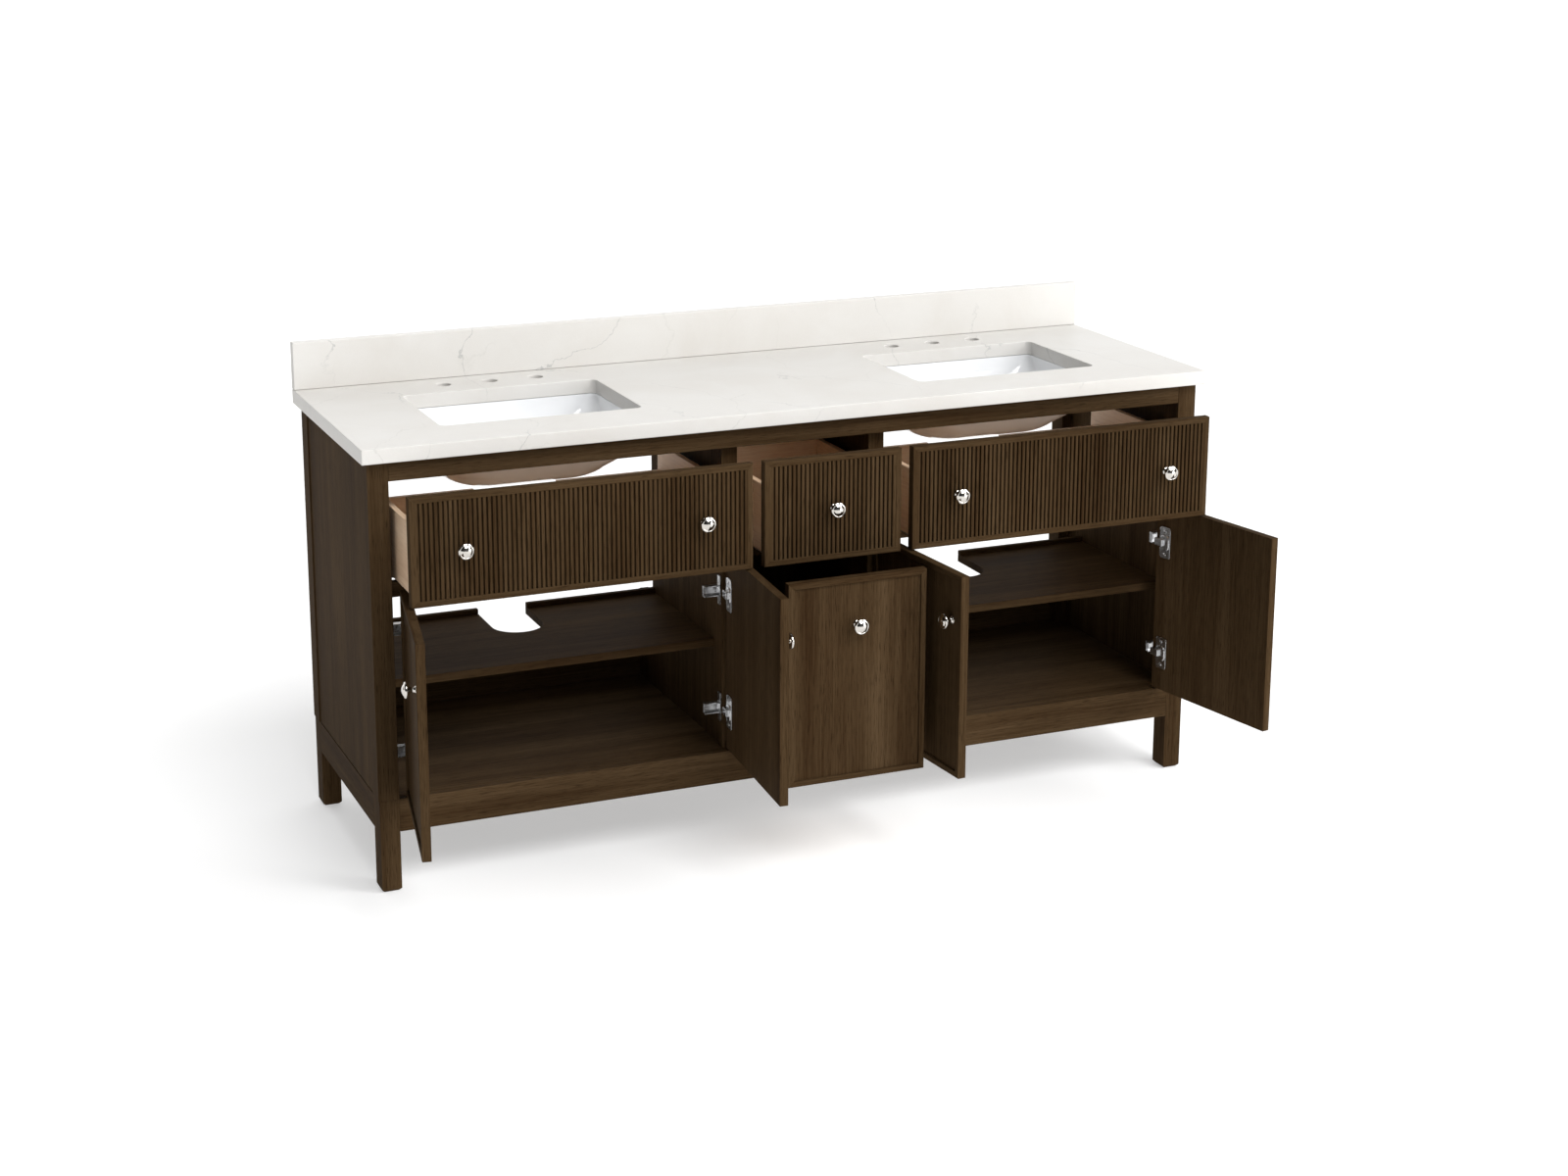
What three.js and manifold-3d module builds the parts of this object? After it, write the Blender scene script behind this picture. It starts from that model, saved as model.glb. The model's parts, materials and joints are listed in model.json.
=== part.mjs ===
// Double bathroom vanity: stone top with two undermounted bowls, a stained wood cabinet on a
// legged base, three fluted top drawers, one deep centre drawer and four inset doors.
//
// Millimetres. +X is to the right seen from the front, +Y to the wall, +Z up from the floor.
// Parts are laid out from the cabinet's middle (x = 0) and the worktop's wall edge (y = 0);
// the finished group is then moved so that its origin lies under the middle of its box.
// The drawers are laid out shut and pulled by their groups, the doors are swung by theirs.

import * as THREE from 'three';
import { mergeVertices } from 'three/addons/utils/BufferGeometryUtils.js';
import Module from 'manifold-3d';

const wasm = await Module();
wasm.setup();

const GAP = 0.3;

// Worktop
const TOP = { width: 1854, depth: 581, thickness: 30, height: 906 };
const SPLASH = { height: 101, thickness: 20 };
const BOWL = { centreX: 522, centreY: -298, width: 421, depth: 291, corner: 14 };
const FAUCET = { radius: 16, spacing: 101.6, y: -80 };

// Bowl under the worktop. Its walls curve in and its corners grow rounder on the way down.
const CERAMIC_OUTSIDE = {
  width: 447, depth: 317, height: 127, curve: { x: 114, y: 125, down: 114 }, corner: { top: 32, floor: 139 },
};
const CERAMIC_INSIDE = {
  width: 423, depth: 293, height: 113, curve: { x: 108, y: 115, down: 104 }, corner: { top: 20, floor: 120 },
};
const CERAMIC_RIM = { width: 491, depth: 361, thickness: 10, corner: 45 };
const DRAIN_RADIUS = 23;
const BOWL_STEPS = { corner: 5, wall: 7 };
const LEAST_STRAIGHT = 4;

// Cabinet
const CABINET = { halfWidth: 914, front: -565, back: -20, bottom: 192 };
const POST = { width: 42, depth: 48 };
const SIDE_PANEL = { setBack: 3, thickness: 14 };
const TOP_RAIL = { bottom: 836, backThickness: 18, backBottom: 806 };
const INNER_FRAME = { front: -543, thickness: 20 };
const DIVIDER = { centreX: 163.5, stile: 34, panel: 20, cutBackY: -120, cutAbove: 395 };
const MID_RAIL = { bottom: 599, top: 629 };
const BOARD = 18;
const BACK_PANEL = { thickness: 16, top: 300 };
const CENTRE_BACK_PANEL = { front: -176, thickness: 16 };

// Base
const BASE = { inset: 2, railBottom: 124, railThickness: 18, footChamfer: 5 };

// Shelf in each side compartment
const SHELF = { top: 412, thickness: 17, front: -485, back: -123 };
const SHELF_LIP = { height: 10, depth: 12 };
const SHELF_NOTCH = { radius: 54.5, depth: 168 };

// Drawer and door fronts
const FRONT = { thickness: 18, border: 12, clearance: 3.2 };
const UPPER = { bottom: 619, top: 834 };
const LOWER = { bottom: 196, top: 616 };
const CENTRE_FRONT_EDGE = 149.5;
const SIDE_FRONT_EDGE = 174.5;
const OUTER_FRONT_EDGE = CABINET.halfWidth - POST.width - FRONT.clearance;
const FLUTE = { pitch: 9.525, groove: 3, depth: 4 };
const PANEL_RECESS = 5;

// Drawer boxes
const BOX = { wall: 12, floor: 6, bottom: 636, top: 776, runnerSpace: 11.5 };
const SIDE_DRAWER = {
  pull: 129, length: 437, rearTop: 718, notchHalf: 90, notchBottom: 660, cutHalf: 400,
};
const CENTRE_DRAWER = { pull: 129, length: 350 };
const DEEP_DRAWER = { pull: 248, length: 350, bottom: 214, top: 470 };
const KNOB_FROM_CENTRE = 244.5;
const LOWER_KNOB_HEIGHT = 518;
const KNOB_FROM_FREE_EDGE = 39;

// Door pivots, measured from the hinge edge of the shut door
const OUTER_PIVOT = { inset: 12, y: CABINET.front, opening: 100.5 };
const INNER_PIVOT = { inset: -1, y: -548.3, opening: 85.5 };

// Concealed hinge, the half that is screwed to the frame
const HINGE = { heights: [281, 532], plateHeight: 60, plate: 3, cheekGap: 18, cheek: 2.5 };
const HINGE_ARM = { front: -541, web: -532.5, back: -528, reach: 36 };

// Knob outline: radius and distance from the face it stands on
const KNOB_OUTLINE = [
  [0, 0], [8.5, 0], [8.5, 2], [5.5, 4.5], [5, 11], [9, 15.5], [15, 18], [16, 21.5], [14.5, 25],
  [9, 28.5], [0, 30],
];
const KNOB_SIDES = 16;

const STAINED_WOOD = new THREE.MeshStandardMaterial({ color: 0x4f3b2c, roughness: 0.55, metalness: 0 });
const LIGHT_WOOD = new THREE.MeshStandardMaterial({ color: 0xd9b48f, roughness: 0.5, metalness: 0 });
const QUARTZ = new THREE.MeshStandardMaterial({ color: 0xf1eee9, roughness: 0.25, metalness: 0 });
const GLAZE = new THREE.MeshStandardMaterial({ color: 0xf4f5f6, roughness: 0.08, metalness: 0 });
const NICKEL = new THREE.MeshStandardMaterial({ color: 0xcfc9bf, roughness: 0.12, metalness: 1 });
const ZINC = new THREE.MeshStandardMaterial({ color: 0xb9bbbd, roughness: 0.3, metalness: 1 });

const SIDES = { left: -1, right: 1 };

// ---- Solids ----------------------------------------------------------------------------------

function toSolid(geometry) {
  const bare = geometry.clone();
  bare.deleteAttribute('normal');
  bare.deleteAttribute('uv');
  const merged = mergeVertices(bare);
  const mesh = new wasm.Mesh({
    numProp: 3,
    vertProperties: new Float32Array(merged.attributes.position.array),
    triVerts: new Uint32Array(merged.index.array),
  });
  return new wasm.Manifold(mesh);
}

function toGeometry(solid) {
  const mesh = solid.getMesh();
  const geometry = new THREE.BufferGeometry();
  geometry.setAttribute('position', new THREE.BufferAttribute(mesh.vertProperties, 3));
  geometry.setIndex(new THREE.BufferAttribute(mesh.triVerts, 1));
  geometry.computeVertexNormals();
  return geometry;
}

function cut(base, tools) {
  return toGeometry(tools.reduce((solid, tool) => solid.subtract(toSolid(tool)), toSolid(base)));
}

function join(base, others) {
  return toGeometry(others.reduce((solid, other) => solid.add(toSolid(other)), toSolid(base)));
}

// A block between two opposite corners, given in any order.
function block(x, y, z) {
  const size = [x, y, z].map(([a, b]) => Math.abs(b - a));
  const middle = [x, y, z].map(([a, b]) => (a + b) / 2);
  return new THREE.BoxGeometry(...size).translate(...middle);
}

function prism(shape, bottom, top, curveSegments = 6) {
  const options = { depth: top - bottom, bevelEnabled: false, curveSegments };
  return new THREE.ExtrudeGeometry(shape, options).translate(0, 0, bottom);
}

function roundedRectangle(width, depth, radius, Kind = THREE.Shape) {
  const x = width / 2 - radius;
  const y = depth / 2 - radius;
  const outline = new Kind();
  outline.absarc(x, y, radius, 0, Math.PI / 2);
  outline.absarc(-x, y, radius, Math.PI / 2, Math.PI);
  outline.absarc(-x, -y, radius, Math.PI, 1.5 * Math.PI);
  outline.absarc(x, -y, radius, 1.5 * Math.PI, 2 * Math.PI);
  outline.closePath();
  return outline;
}

function polygon(points) {
  return new THREE.Shape(points.map(([x, y]) => new THREE.Vector2(x, y)));
}

function add(parent, name, geometry, material) {
  const mesh = new THREE.Mesh(geometry, material.clone());
  mesh.name = name;
  parent.add(mesh);
}

// ---- Worktop ---------------------------------------------------------------------------------

function moved(path, x, y) {
  return new THREE.Path(path.getPoints(6).map((point) => point.add(new THREE.Vector2(x, y))));
}

function faucetHole(x) {
  const hole = new THREE.Path();
  hole.absarc(x, FAUCET.y, FAUCET.radius, 0, 2 * Math.PI);
  return new THREE.Path(hole.getPoints(10));
}

function addWorktop(vanity) {
  const half = TOP.width / 2;
  const slab = polygon([[-half, -TOP.depth], [half, -TOP.depth], [half, 0], [-half, 0]]);
  for (const side of Object.values(SIDES)) {
    const opening = roundedRectangle(BOWL.width, BOWL.depth, BOWL.corner, THREE.Path);
    slab.holes.push(moved(opening, side * BOWL.centreX, BOWL.centreY));
    for (const step of [-1, 0, 1]) {
      slab.holes.push(faucetHole(side * BOWL.centreX + step * FAUCET.spacing));
    }
  }
  add(vanity, 'countertop', prism(slab, TOP.height - TOP.thickness, TOP.height), QUARTZ);
  const splashRise = [TOP.height + GAP, TOP.height + SPLASH.height];
  add(vanity, 'backsplash', block([-half, half], [-SPLASH.thickness, 0], splashRise), QUARTZ);
}

// Points round a rounded rectangle, as many for every size.
function roundedRing(halfX, halfY, corner, z) {
  const radius = Math.min(corner, halfX - LEAST_STRAIGHT, halfY - LEAST_STRAIGHT);
  const ring = [];
  [[1, -1], [1, 1], [-1, 1], [-1, -1]].forEach(([right, back], quarter) => {
    for (let step = 0; step <= BOWL_STEPS.corner; step += 1) {
      const angle = (quarter - 1 + step / BOWL_STEPS.corner) * Math.PI / 2;
      const x = right * (halfX - radius) + radius * Math.cos(angle);
      const y = back * (halfY - radius) + radius * Math.sin(angle);
      ring.push(new THREE.Vector3(x, y, z));
    }
  });
  return ring;
}

function circleRing(radius, z) {
  const count = 4 * (BOWL_STEPS.corner + 1);
  return Array.from({ length: count }, (_, i) => {
    const angle = (i + 0.5) / count * 2 * Math.PI - Math.PI / 2;
    return new THREE.Vector3(radius * Math.cos(angle), radius * Math.sin(angle), z);
  });
}

// Rings down a bowl's wall, from where it is upright to its flat floor.
function wallRings({ width, depth, height, curve, corner }, top) {
  return Array.from({ length: BOWL_STEPS.wall + 1 }, (_, step) => {
    const angle = step / BOWL_STEPS.wall * Math.PI / 2;
    const inwards = 1 - Math.cos(angle);
    const z = top - height + curve.down * (1 - Math.sin(angle));
    const radius = THREE.MathUtils.lerp(corner.top, corner.floor, Math.sin(angle));
    return roundedRing(width / 2 - curve.x * inwards, depth / 2 - curve.y * inwards, radius, z);
  });
}

// A closed skin over rings of points. The last ring meets the first.
function loft(rings) {
  const count = rings[0].length;
  const index = [];
  for (let i = 0; i < rings.length; i += 1) {
    const below = i * count;
    const above = ((i + 1) % rings.length) * count;
    for (let k = 0; k < count; k += 1) {
      const next = (k + 1) % count;
      index.push(below + k, below + next, above + next, below + k, above + next, above + k);
    }
  }
  const geometry = new THREE.BufferGeometry().setFromPoints(rings.flat());
  geometry.setIndex(index);
  return toGeometry(toSolid(geometry));
}

function addSinks(vanity) {
  const top = TOP.height - TOP.thickness - GAP;
  const outside = wallRings(CERAMIC_OUTSIDE, top).reverse();
  const inside = wallRings(CERAMIC_INSIDE, top);
  const rimBottom = top - CERAMIC_RIM.thickness;
  const rings = [
    circleRing(DRAIN_RADIUS, top - CERAMIC_OUTSIDE.height),
    ...outside,
    roundedRing(CERAMIC_OUTSIDE.width / 2, CERAMIC_OUTSIDE.depth / 2, CERAMIC_OUTSIDE.corner.top, rimBottom),
    roundedRing(CERAMIC_RIM.width / 2, CERAMIC_RIM.depth / 2, CERAMIC_RIM.corner, rimBottom),
    roundedRing(CERAMIC_RIM.width / 2, CERAMIC_RIM.depth / 2, CERAMIC_RIM.corner, top),
    roundedRing(CERAMIC_INSIDE.width / 2, CERAMIC_INSIDE.depth / 2, CERAMIC_INSIDE.corner.top, top),
    ...inside,
    circleRing(DRAIN_RADIUS, top - CERAMIC_INSIDE.height),
  ];
  const bowl = loft(rings);
  for (const [side, sign] of Object.entries(SIDES)) {
    const placed = bowl.clone().translate(sign * BOWL.centreX, BOWL.centreY, 0);
    add(vanity, `sink_${side}`, placed, GLAZE);
  }
}

// ---- Cabinet ---------------------------------------------------------------------------------

const CABINET_TOP = TOP.height - TOP.thickness - GAP;
const OPENING_HALF = CABINET.halfWidth - POST.width;
const RAIL_HALF = OPENING_HALF - GAP;
const SIDE_INNER = CABINET.halfWidth - SIDE_PANEL.setBack - SIDE_PANEL.thickness;
const DIVIDER_OUTER = DIVIDER.centreX + DIVIDER.panel / 2;
const STILE_OUTER = DIVIDER.centreX + DIVIDER.stile / 2;
const STILE_INNER = DIVIDER.centreX - DIVIDER.stile / 2;

function addPosts(vanity) {
  const rise = [CABINET.bottom + GAP, CABINET_TOP];
  for (const [side, sign] of Object.entries(SIDES)) {
    const x = [sign * OPENING_HALF, sign * CABINET.halfWidth];
    const front = [CABINET.front, CABINET.front + POST.depth];
    const back = [CABINET.back - POST.depth, CABINET.back];
    add(vanity, `post_front_${side}`, block(x, front, rise), STAINED_WOOD);
    add(vanity, `post_back_${side}`, block(x, back, rise), STAINED_WOOD);
    const panelX = [sign * SIDE_INNER, sign * (CABINET.halfWidth - SIDE_PANEL.setBack)];
    const panelY = [front[1] + GAP, back[0] - GAP];
    add(vanity, `side_panel_${side}`, block(panelX, panelY, rise), STAINED_WOOD);
  }
}

function addTopRails(vanity) {
  const x = [-RAIL_HALF, RAIL_HALF];
  const front = [CABINET.front, INNER_FRAME.front - GAP];
  const back = [CABINET.back - TOP_RAIL.backThickness, CABINET.back];
  add(vanity, 'top_rail_front', block(x, front, [TOP_RAIL.bottom, CABINET_TOP]), STAINED_WOOD);
  add(vanity, 'top_rail_back', block(x, back, [TOP_RAIL.backBottom, CABINET_TOP]), STAINED_WOOD);
}

// Seen from above, each divider is a board behind a wider stile. Its upper back is cut away
// for the pipes, down to the top of the back panel.
function addDividers(vanity) {
  const floor = CABINET.bottom + 2 * GAP;
  const backFace = CABINET.back - BACK_PANEL.thickness - 2 * GAP;
  const boardFront = INNER_FRAME.front + INNER_FRAME.thickness;
  for (const [side, sign] of Object.entries(SIDES)) {
    const middle = sign * DIVIDER.centreX;
    const boardX = [middle - DIVIDER.panel / 2, middle + DIVIDER.panel / 2];
    const stileX = [middle - DIVIDER.stile / 2, middle + DIVIDER.stile / 2];
    const board = block(boardX, [boardFront - 1, backFace], [floor, CABINET_TOP]);
    const stile = block(stileX, [INNER_FRAME.front, boardFront], [floor, CABINET_TOP]);
    const cutX = [middle - DIVIDER.stile, middle + DIVIDER.stile];
    const cutAway = block(cutX, [DIVIDER.cutBackY, 0], [DIVIDER.cutAbove, TOP.height]);
    add(vanity, `divider_${side}`, cut(join(stile, [board]), [cutAway]), STAINED_WOOD);
  }
}

function addMidRails(vanity) {
  const y = [INNER_FRAME.front, INNER_FRAME.front + INNER_FRAME.thickness];
  const z = [MID_RAIL.bottom, MID_RAIL.top];
  const centreHalf = STILE_INNER - GAP;
  add(vanity, 'mid_rail_centre', block([-centreHalf, centreHalf], y, z), STAINED_WOOD);
  for (const [side, sign] of Object.entries(SIDES)) {
    const x = [sign * (STILE_OUTER + GAP), sign * RAIL_HALF];
    add(vanity, `mid_rail_${side}`, block(x, y, z), STAINED_WOOD);
  }
}

// The bottom board is wider between the posts, where it reaches the side rails of the base.
function addBottomAndBack(vanity) {
  const z = [CABINET.bottom - BOARD, CABINET.bottom];
  const front = CABINET.front + BASE.inset + BASE.railThickness + GAP;
  const back = CABINET.back - BASE.inset - BASE.railThickness - GAP;
  const middleHalf = CABINET.halfWidth - BASE.inset - BASE.railThickness - GAP;
  const postFront = CABINET.front + POST.depth + GAP;
  const postBack = CABINET.back - POST.depth - GAP;
  const outline = polygon([
    [-RAIL_HALF, front], [RAIL_HALF, front], [RAIL_HALF, postFront], [middleHalf, postFront],
    [middleHalf, postBack], [RAIL_HALF, postBack], [RAIL_HALF, back], [-RAIL_HALF, back],
    [-RAIL_HALF, postBack], [-middleHalf, postBack], [-middleHalf, postFront], [-RAIL_HALF, postFront],
  ]);
  add(vanity, 'bottom_panel', prism(outline, ...z), STAINED_WOOD);
  const backY = [CABINET.back - BACK_PANEL.thickness, CABINET.back];
  const backZ = [CABINET.bottom + 2 * GAP, BACK_PANEL.top];
  add(vanity, 'back_panel', block([-RAIL_HALF, RAIL_HALF], backY, backZ), STAINED_WOOD);
  const bayHalf = DIVIDER.centreX - DIVIDER.panel / 2 - GAP;
  const bayY = [CENTRE_BACK_PANEL.front, CENTRE_BACK_PANEL.front + CENTRE_BACK_PANEL.thickness];
  const bayZ = [CABINET.bottom + 2 * GAP, CABINET_TOP];
  add(vanity, 'centre_back_panel', block([-bayHalf, bayHalf], bayY, bayZ), STAINED_WOOD);
}

// ---- Base ------------------------------------------------------------------------------------

// A square leg whose foot is chamfered all round.
function leg(width, depth, height, chamfer) {
  const geometry = new THREE.BoxGeometry(width, depth, height, 1, 1, 2);
  const position = geometry.attributes.position;
  for (let i = 0; i < position.count; i += 1) {
    const x = position.getX(i);
    const y = position.getY(i);
    const z = position.getZ(i);
    if (z === 0) position.setZ(i, chamfer - height / 2);
    if (z < 0) position.setXYZ(i, x - Math.sign(x) * chamfer, y - Math.sign(y) * chamfer, z);
  }
  return geometry.translate(0, 0, height / 2);
}

function addBase(vanity) {
  const top = CABINET.bottom;
  const width = POST.width - BASE.inset;
  const depth = POST.depth - BASE.inset;
  const legX = OPENING_HALF + width / 2;
  const legY = {
    front: CABINET.front + BASE.inset + depth / 2,
    back: CABINET.back - BASE.inset - depth / 2,
  };
  const outerFront = CABINET.front + BASE.inset;
  const outerBack = CABINET.back - BASE.inset;
  const railY = {
    front: [outerFront, outerFront + BASE.railThickness],
    back: [outerBack - BASE.railThickness, outerBack],
  };
  for (const end of ['front', 'back']) {
    for (const [side, sign] of Object.entries(SIDES)) {
      const geometry = leg(width, depth, top, BASE.footChamfer).translate(sign * legX, legY[end], 0);
      add(vanity, `leg_${end}_${side}`, geometry, STAINED_WOOD);
    }
    const rail = block([-RAIL_HALF, RAIL_HALF], railY[end], [BASE.railBottom, top]);
    add(vanity, `base_rail_${end}`, rail, STAINED_WOOD);
  }
  const sideY = [CABINET.front + POST.depth + GAP, CABINET.back - POST.depth - GAP];
  for (const [side, sign] of Object.entries(SIDES)) {
    const outer = CABINET.halfWidth - BASE.inset;
    const x = [sign * (outer - BASE.railThickness), sign * outer];
    add(vanity, `base_rail_${side}`, block(x, sideY, [BASE.railBottom, top]), STAINED_WOOD);
  }
}

// ---- Shelves ---------------------------------------------------------------------------------

// A shelf with a raised lip at the back and a U-shaped notch for the waste pipe.
function addShelves(vanity) {
  const bottom = SHELF.top - SHELF.thickness;
  const near = DIVIDER_OUTER + GAP;
  const far = SIDE_INNER - GAP;
  const { radius, depth } = SHELF_NOTCH;
  for (const [side, sign] of Object.entries(SIDES)) {
    const x = [sign * near, sign * far];
    const board = block(x, [SHELF.front, SHELF.back], [bottom, SHELF.top]);
    const lip = block(x, [SHELF.back - SHELF_LIP.depth, SHELF.back], [bottom, SHELF.top + SHELF_LIP.height]);
    const notch = new THREE.Shape();
    notch.moveTo(-radius, 1);
    notch.lineTo(-radius, radius - depth);
    notch.absarc(0, radius - depth, radius, Math.PI, 2 * Math.PI);
    notch.lineTo(radius, 1);
    const tool = prism(notch, bottom - 1, TOP.height, 10).translate(sign * BOWL.centreX, SHELF.back, 0);
    add(vanity, `shelf_${side}`, cut(join(board, [lip]), [tool]), STAINED_WOOD);
  }
}

// ---- Drawers ---------------------------------------------------------------------------------

function knob() {
  const points = KNOB_OUTLINE.map(([radius, height]) => new THREE.Vector2(radius, height));
  return new THREE.LatheGeometry(points, KNOB_SIDES).rotateX(Math.PI);
}

// A front with a flat border around vertical flutes.
function flutedFront(x, z) {
  const face = CABINET.front;
  const width = x[1] - x[0];
  const grooves = Math.floor((width - 2 * FRONT.border) / FLUTE.pitch);
  const first = (x[0] + x[1] - (grooves - 1) * FLUTE.pitch) / 2;
  const tools = [];
  for (let i = 0; i < grooves; i += 1) {
    const middle = first + i * FLUTE.pitch;
    const grooveX = [middle - FLUTE.groove / 2, middle + FLUTE.groove / 2];
    tools.push(block(grooveX, [face - 1, face + FLUTE.depth], [z[0] + FRONT.border, z[1] - FRONT.border]));
  }
  return cut(block(x, [face, face + FRONT.thickness], z), tools);
}

// A front with a narrow raised border around a flat field.
function panelFront(x, y, z) {
  const [near, far] = y;
  const inner = ([low, high]) => [low + FRONT.border, high - FRONT.border];
  const field = block(inner(x), [near - 1, near + PANEL_RECESS], inner(z));
  return cut(block(x, [near, far], z), [field]);
}

function drawerBox(x, z, length) {
  const front = CABINET.front + FRONT.thickness + GAP;
  const inner = ([low, high]) => [low + BOX.wall, high - BOX.wall];
  const y = [front, front + length];
  return cut(block(x, y, z), [block(inner(x), inner(y), [z[0] + BOX.floor, z[1] + 1])]);
}

// The side drawers run under a bowl: their rear wall is low and notched for the waste pipe.
function lowerRearWall(box, length, centreX) {
  const rear = CABINET.front + FRONT.thickness + GAP + length;
  const y = [rear - BOX.wall, rear + 1];
  const { rearTop, notchHalf, notchBottom, cutHalf } = SIDE_DRAWER;
  const wide = block([centreX - cutHalf, centreX + cutHalf], y, [rearTop, BOX.top + 1]);
  const notch = block([centreX - notchHalf, centreX + notchHalf], y, [notchBottom, BOX.top + 1]);
  return cut(box, [wide, notch]);
}

function addDrawer(vanity, name, pull, front, box, knobs) {
  const drawer = new THREE.Group();
  drawer.position.y = -pull;
  vanity.add(drawer);
  add(drawer, `drawer_front_${name}`, front, STAINED_WOOD);
  add(drawer, `drawer_box_${name}`, box, LIGHT_WOOD);
  for (const { name: knobName, x, y, z } of knobs) {
    add(drawer, knobName, knob().translate(x, y - GAP, z), NICKEL);
  }
}

function addDrawers(vanity) {
  const upper = [UPPER.bottom, UPPER.top];
  const upperBoxZ = [BOX.bottom, BOX.top];
  const middleZ = (UPPER.bottom + UPPER.top) / 2;
  const face = CABINET.front;
  for (const [side, sign] of Object.entries(SIDES)) {
    const frontX = [sign * SIDE_FRONT_EDGE, sign * OUTER_FRONT_EDGE].sort((a, b) => a - b);
    const boxInner = STILE_OUTER + BOX.runnerSpace;
    const boxOuter = OPENING_HALF - BOX.runnerSpace;
    const boxX = [sign * boxInner, sign * boxOuter].sort((a, b) => a - b);
    const centre = (frontX[0] + frontX[1]) / 2;
    const box = drawerBox(boxX, upperBoxZ, SIDE_DRAWER.length);
    const lowered = lowerRearWall(box, SIDE_DRAWER.length, sign * BOWL.centreX);
    const knobs = [
      { name: `knob_drawer_${side}_a`, x: centre - KNOB_FROM_CENTRE, y: face, z: middleZ },
      { name: `knob_drawer_${side}_b`, x: centre + KNOB_FROM_CENTRE, y: face, z: middleZ },
    ];
    addDrawer(vanity, side, SIDE_DRAWER.pull, flutedFront(frontX, upper), lowered, knobs);
  }
  const centreX = [-CENTRE_FRONT_EDGE, CENTRE_FRONT_EDGE];
  const boxHalf = STILE_INNER - BOX.runnerSpace;
  const boxX = [-boxHalf, boxHalf];
  const centreBox = drawerBox(boxX, upperBoxZ, CENTRE_DRAWER.length);
  const centreKnob = [{ name: 'knob_drawer_centre', x: 0, y: face, z: middleZ }];
  addDrawer(vanity, 'centre', CENTRE_DRAWER.pull, flutedFront(centreX, upper), centreBox, centreKnob);
  const deepFront = panelFront(centreX, [face, face + FRONT.thickness], [LOWER.bottom, LOWER.top]);
  const deepBox = drawerBox(boxX, [DEEP_DRAWER.bottom, DEEP_DRAWER.top], DEEP_DRAWER.length);
  const deepKnob = [{ name: 'knob_drawer_deep', x: 0, y: face + PANEL_RECESS, z: LOWER_KNOB_HEIGHT }];
  addDrawer(vanity, 'deep', DEEP_DRAWER.pull, deepFront, deepBox, deepKnob);
}

// ---- Doors and hinges ------------------------------------------------------------------------

// towards is +1 where the shut door reaches to the right of its hinge edge, and -1 to the left.
const DOORS = [
  { number: 1, hingeEdge: -OUTER_FRONT_EDGE, towards: 1, pivot: OUTER_PIVOT, frameEdge: -RAIL_HALF },
  { number: 2, hingeEdge: -SIDE_FRONT_EDGE, towards: -1, pivot: INNER_PIVOT, frameEdge: -STILE_OUTER - GAP },
  { number: 3, hingeEdge: SIDE_FRONT_EDGE, towards: 1, pivot: INNER_PIVOT, frameEdge: STILE_OUTER + GAP },
  { number: 4, hingeEdge: OUTER_FRONT_EDGE, towards: -1, pivot: OUTER_PIVOT, frameEdge: RAIL_HALF },
];
const DOOR_WIDTH = (OUTER_FRONT_EDGE - SIDE_FRONT_EDGE - FRONT.clearance) / 2;

function addDoor(vanity, { number, hingeEdge, towards, pivot }) {
  const door = new THREE.Group();
  door.position.set(hingeEdge + towards * pivot.inset, pivot.y, 0);
  door.rotation.z = -towards * THREE.MathUtils.degToRad(pivot.opening);
  vanity.add(door);
  const edge = -towards * pivot.inset;
  const x = [edge, edge + towards * DOOR_WIDTH].sort((a, b) => a - b);
  const face = CABINET.front - pivot.y;
  const panel = panelFront(x, [face, face + FRONT.thickness], [LOWER.bottom, LOWER.top]);
  add(door, `door_${number}_panel`, panel, STAINED_WOOD);
  const knobX = edge + towards * (DOOR_WIDTH - KNOB_FROM_FREE_EDGE);
  const placed = knob().translate(knobX, face + PANEL_RECESS - GAP, LOWER_KNOB_HEIGHT);
  add(door, `knob_door_${number}`, placed, NICKEL);
}

// A U-shaped arm that is open towards the door, on a plate screwed to the frame.
function hingeArm(frameEdge, towards, height) {
  const half = HINGE.cheekGap / 2 + HINGE.cheek;
  const start = frameEdge + towards * GAP;
  const x = [start, start + towards * HINGE_ARM.reach];
  const y = [HINGE_ARM.front, HINGE_ARM.back];
  const arm = block(x, y, [height - half, height + half]);
  const hollowX = [start + towards * HINGE.plate, start + towards * (HINGE_ARM.reach + 1)];
  const hollowZ = [height - HINGE.cheekGap / 2, height + HINGE.cheekGap / 2];
  const hollow = block(hollowX, [HINGE_ARM.front - 1, HINGE_ARM.web], hollowZ);
  const plateZ = [height - HINGE.plateHeight / 2, height + HINGE.plateHeight / 2];
  const plate = block([start, start + towards * HINGE.plate], y, plateZ);
  return join(cut(arm, [hollow]), [plate]);
}

function addHinges(vanity) {
  for (const { number, frameEdge, towards } of DOORS) {
    const [lower, upper] = HINGE.heights;
    add(vanity, `hinge_door_${number}_lower`, hingeArm(frameEdge, towards, lower), ZINC);
    add(vanity, `hinge_door_${number}_upper`, hingeArm(frameEdge, towards, upper), ZINC);
  }
}

// ---- Assembly --------------------------------------------------------------------------------

const vanity = new THREE.Group();
addWorktop(vanity);
addSinks(vanity);
addPosts(vanity);
addTopRails(vanity);
addDividers(vanity);
addMidRails(vanity);
addBottomAndBack(vanity);
addBase(vanity);
addShelves(vanity);
addDrawers(vanity);
DOORS.forEach((door) => addDoor(vanity, door));
addHinges(vanity);

const bounds = new THREE.Box3().setFromObject(vanity, true);
vanity.position.y = -(bounds.min.y + bounds.max.y) / 2;

export default vanity;
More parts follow.
